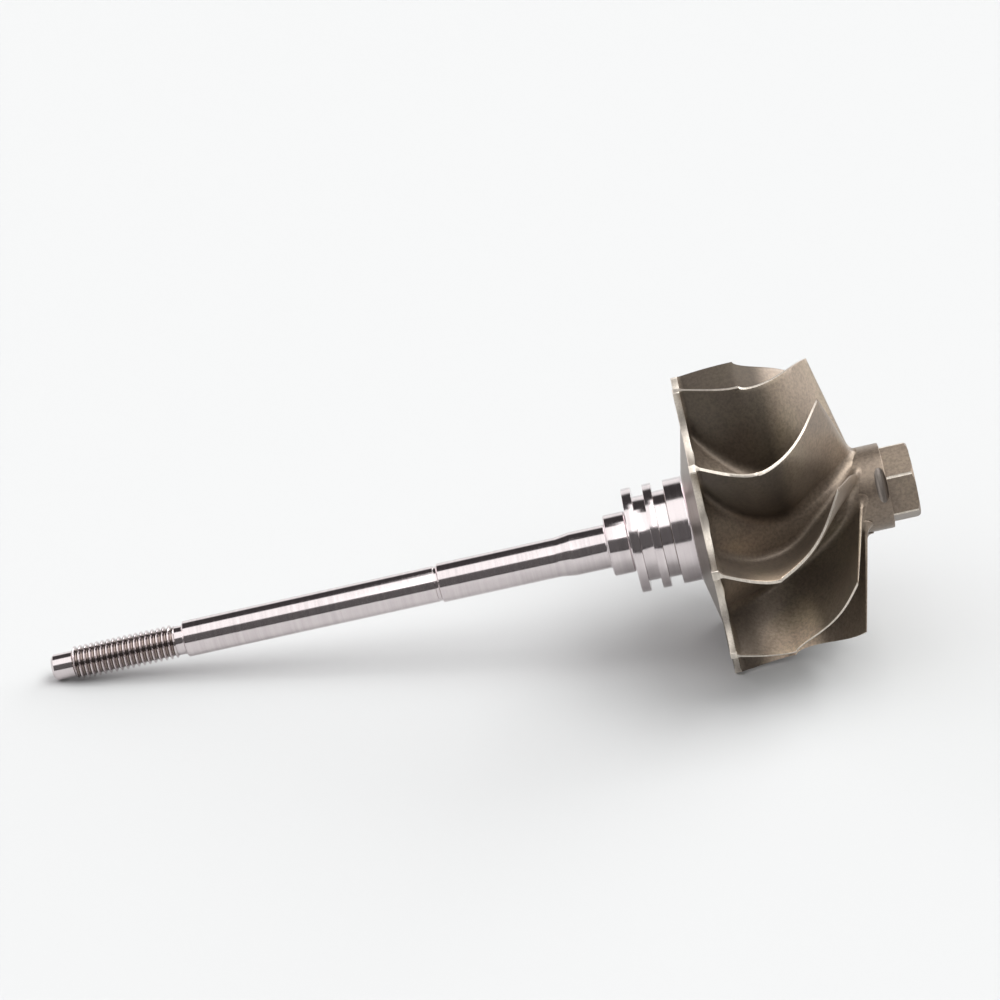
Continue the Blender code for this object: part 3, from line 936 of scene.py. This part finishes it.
def steel_material(name="turned_steel", painted_root_shade=False):
    material, nodes, shader = new_metal(name, 1.0)
    place = nodes.place()
    fine = turning_lines(nodes, place, STEEL_FINE_LINES)
    coarse = turning_lines(nodes, place, STEEL_COARSE_LINES)
    patches = nodes.noise(place, STEEL_PATCHES, detail=3.0)
    tint = nodes.ramp(patches, STEEL_TINTS)
    colour = nodes.mix(nodes.ramp(coarse, [(0.38, 0.0), (0.62, 1.0)]), tint, STEEL_LINE_TINT)
    if painted_root_shade:
        # Painted shade: darker the deeper into the thread's groove
        radius, _station = radius_of(nodes, place)
        reach = {"Value": radius, "From Min": THREAD_RADIUS - THREAD_DEPTH, "From Max": THREAD_RADIUS}
        depth = nodes.add("ShaderNodeMapRange", reach).outputs["Result"]
        shade = nodes.ramp(depth, THREAD_ROOT_PAINTED_SHADE)
        colour = nodes.mix(1.0, colour, shade, blend="MULTIPLY")
    rough = nodes.ramp(fine, STEEL_ROUGHNESS)
    connect(nodes, shader, colour, rough, nodes.bump(fine, 0.12, 0.02 * MM))
    return material


def cast_material():
    material, nodes, shader = new_metal("cast_nickel_alloy", CAST_METALLIC)
    place = nodes.place()
    clouds = nodes.noise(place, CAST_CLOUDS, detail=4.0, roughness=0.6)
    grain = nodes.noise(place, CAST_GRAIN, detail=3.0, roughness=0.6)
    pits = nodes.noise(place, CAST_PITS, detail=1.0)
    tint = nodes.ramp(clouds, CAST_TINTS)
    speckle = nodes.ramp(grain, CAST_SPECKLE)
    colour = nodes.mix(1.0, tint, speckle, blend="MULTIPLY")
    # Painted shade and light: the per-vertex factor scales the colour and, where it darkens, dulls the finish
    painted_light_and_tone = nodes.add("ShaderNodeAttribute", attribute_name="painted_light_and_tone").outputs["Fac"]
    colour = nodes.mix(1.0, colour, painted_light_and_tone, blend="MULTIPLY")
    rough = nodes.math("ADD", nodes.ramp(grain, CAST_ROUGHNESS), nodes.ramp(painted_light_and_tone, PAINTED_SHADE_DULLNESS))
    normal = nodes.bump(grain, 0.35, 0.06 * MM)
    connect(nodes, shader, colour, rough, nodes.bump(pits, 0.2, 0.03 * MM, normal))
    return material


def ground_material():
    material, nodes, shader = new_metal("ground_edge", 1.0)
    place = nodes.place()
    lines = turning_lines(nodes, place, GROUND_LINES)
    colour = nodes.ramp(lines, GROUND_TINTS)
    connect(nodes, shader, colour, GROUND_ROUGHNESS, nodes.bump(lines, 0.2, 0.03 * MM))
    return material


def machined_material():
    material, nodes, shader = new_metal("machined_casting", 1.0)
    place = nodes.place()
    lines = turning_lines(nodes, place, MACHINED_LINES)
    patches = nodes.noise(place, MACHINED_PATCHES, detail=3.0)
    tint = nodes.ramp(patches, MACHINED_TINTS)
    colour = nodes.mix(nodes.ramp(lines, [(0.35, 0.0), (0.65, 1.0)]), tint, MACHINED_LINE_TINT)
    connect(nodes, shader, colour, MACHINED_ROUGHNESS, nodes.bump(lines, 0.25, 0.04 * MM))
    return material


def make_camera():
    data = bpy.data.cameras.new("camera")
    data.sensor_width = CAMERA_SENSOR
    data.lens = CAMERA_LENS
    data.clip_start, data.clip_end = CAMERA_CLIP
    camera = bpy.data.objects.new("camera", data)
    turn = Matrix.Rotation(CAMERA_YAW, 4, "Z") @ Matrix.Rotation(math.pi / 2 + CAMERA_PITCH, 4, "X")
    turn = turn @ Matrix.Rotation(-CAMERA_ROLL, 4, "Z")
    camera.matrix_world = Matrix.Translation(CAMERA_PLACE) @ turn
    bpy.context.scene.collection.objects.link(camera)
    bpy.context.scene.camera = camera


def make_floor():
    shape = bmesh.new()
    bmesh.ops.create_circle(shape, cap_ends=True, segments=96, radius=FLOOR_RADIUS)
    floor = solid_object("floor", shape)
    material, _nodes, shader = new_metal("white_floor", 0.0)
    shader.inputs["Base Color"].default_value = FLOOR_COLOUR
    shader.inputs["Roughness"].default_value = FLOOR_ROUGHNESS
    shader.inputs["Specular IOR Level"].default_value = FLOOR_SPECULAR
    floor.data.materials.append(material)


def make_world():
    """A dark studio with panels of light, which a plain backdrop hides from the camera itself."""
    world = bpy.data.worlds.new("studio")
    bpy.context.scene.world = world
    world.use_nodes = True
    nodes = Nodes(world.node_tree)
    toward = nodes.add("ShaderNodeTexCoord").outputs["Generated"]
    parts = nodes.add("ShaderNodeSeparateXYZ", {"Vector": toward})
    forward = nodes.math("MULTIPLY", parts.outputs["Y"], -1.0)
    height = nodes.math("ARCTAN2", parts.outputs["Z"], forward)
    share = nodes.math("DIVIDE", height, math.pi)

    def multiply_add(value, factor, addend):
        inputs = {0: value, 1: factor, 2: addend}
        return nodes.add("ShaderNodeMath", inputs, operation="MULTIPLY_ADD").outputs[0]

    side = multiply_add(parts.outputs["X"], 0.5, 0.5)

    def lit(panels, base, tint):
        light = nodes.math("ADD", base, 0.0)
        for low, high, left, right, strength, soft_height, soft_side in panels:
            band = window(low / 180, high / 180, soft_height / 180)
            span = window((left + 1) / 2, (right + 1) / 2, soft_side / 2)
            panel = nodes.math("MULTIPLY", nodes.ramp(share, band), nodes.ramp(side, span))
            light = multiply_add(panel, strength, light)
        return nodes.mix(1.0, light, tint, blend="MULTIPLY")

    white = lit(WHITE_PANELS, 0.0, WHITE_TINT)
    rosy = lit(ROSY_PANELS, ROOM_LIGHT, ROSY_TINT)
    tinted = nodes.mix(1.0, white, rosy, blend="ADD")
    seen = nodes.add("ShaderNodeLightPath").outputs["Is Camera Ray"]
    colour = nodes.mix(seen, tinted, BACKDROP)
    background = nodes.tree.nodes["Background"]
    nodes.tree.links.new(colour, background.inputs["Color"])
    background.inputs["Strength"].default_value = 1.0


def set_colours():
    bpy.context.scene.view_settings.view_transform = "Standard"


def main():
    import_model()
    steel = steel_material()
    cast = cast_material()
    ground = ground_material()
    machined = machined_material()
    make_shaft(steel, steel_material("threaded_steel", painted_root_shade=True))
    make_casting(cast, ground, machined, steel)
    make_nose(cast, machined, ground)
    make_floor()
    make_world()
    make_camera()
    set_colours()
    bpy.context.view_layer.update()


main()
